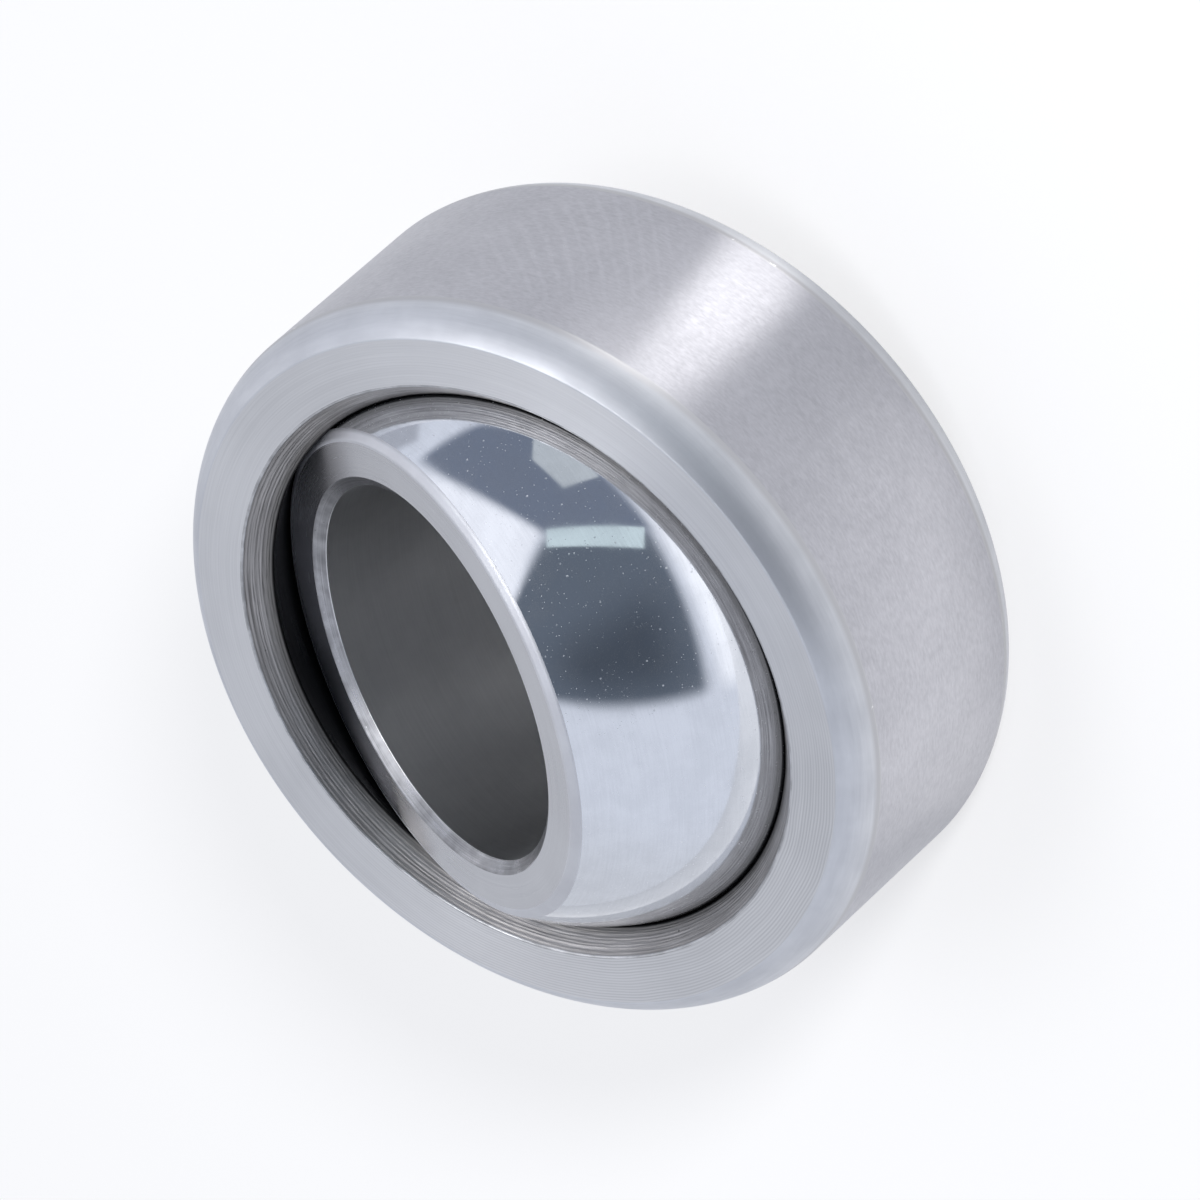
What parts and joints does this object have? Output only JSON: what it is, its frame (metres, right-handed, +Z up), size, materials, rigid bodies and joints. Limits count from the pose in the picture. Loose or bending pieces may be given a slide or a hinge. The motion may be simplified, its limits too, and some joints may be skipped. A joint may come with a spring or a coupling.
{
  "type": "spherical plain bearing",
  "caption": "Spherical plain bearing: a steel ball with a straight bore swivels in a swaged outer ring with flared mouths and rounded edges.",
  "frame": {"origin": "centre of the ball, which is also the centre of the outer ring", "axes": "+Z up from the table that the bearing lies on, with the low rims of ring and ball at equal depth; +X along the swivel axis; the ring's axis leans 14.15 degrees from +Z towards -Y and the bore's axis 10.15 degrees from +Z towards +Y"},
  "size_m": [0.0254, 0.0264, 0.0154],
  "materials": {
    "ground_steel": "ground outside diameter, turned faces and mouths",
    "polished_steel": "mirror polished ball, turned faces and honed bore"
  },
  "bodies": {
    "outer_ring": {"outer_ring": "ground_steel"},
    "inner_ring": {"inner_ring": "polished_steel"}
  },
  "joints": [
    {"name": "ball_swivel", "type": "hinge", "parent": "outer_ring", "child": "inner_ring", "pos_m": [0, 0, 0], "axis": [1, 0, 0], "range_deg": [-4.2, 52.8]}
  ]
}
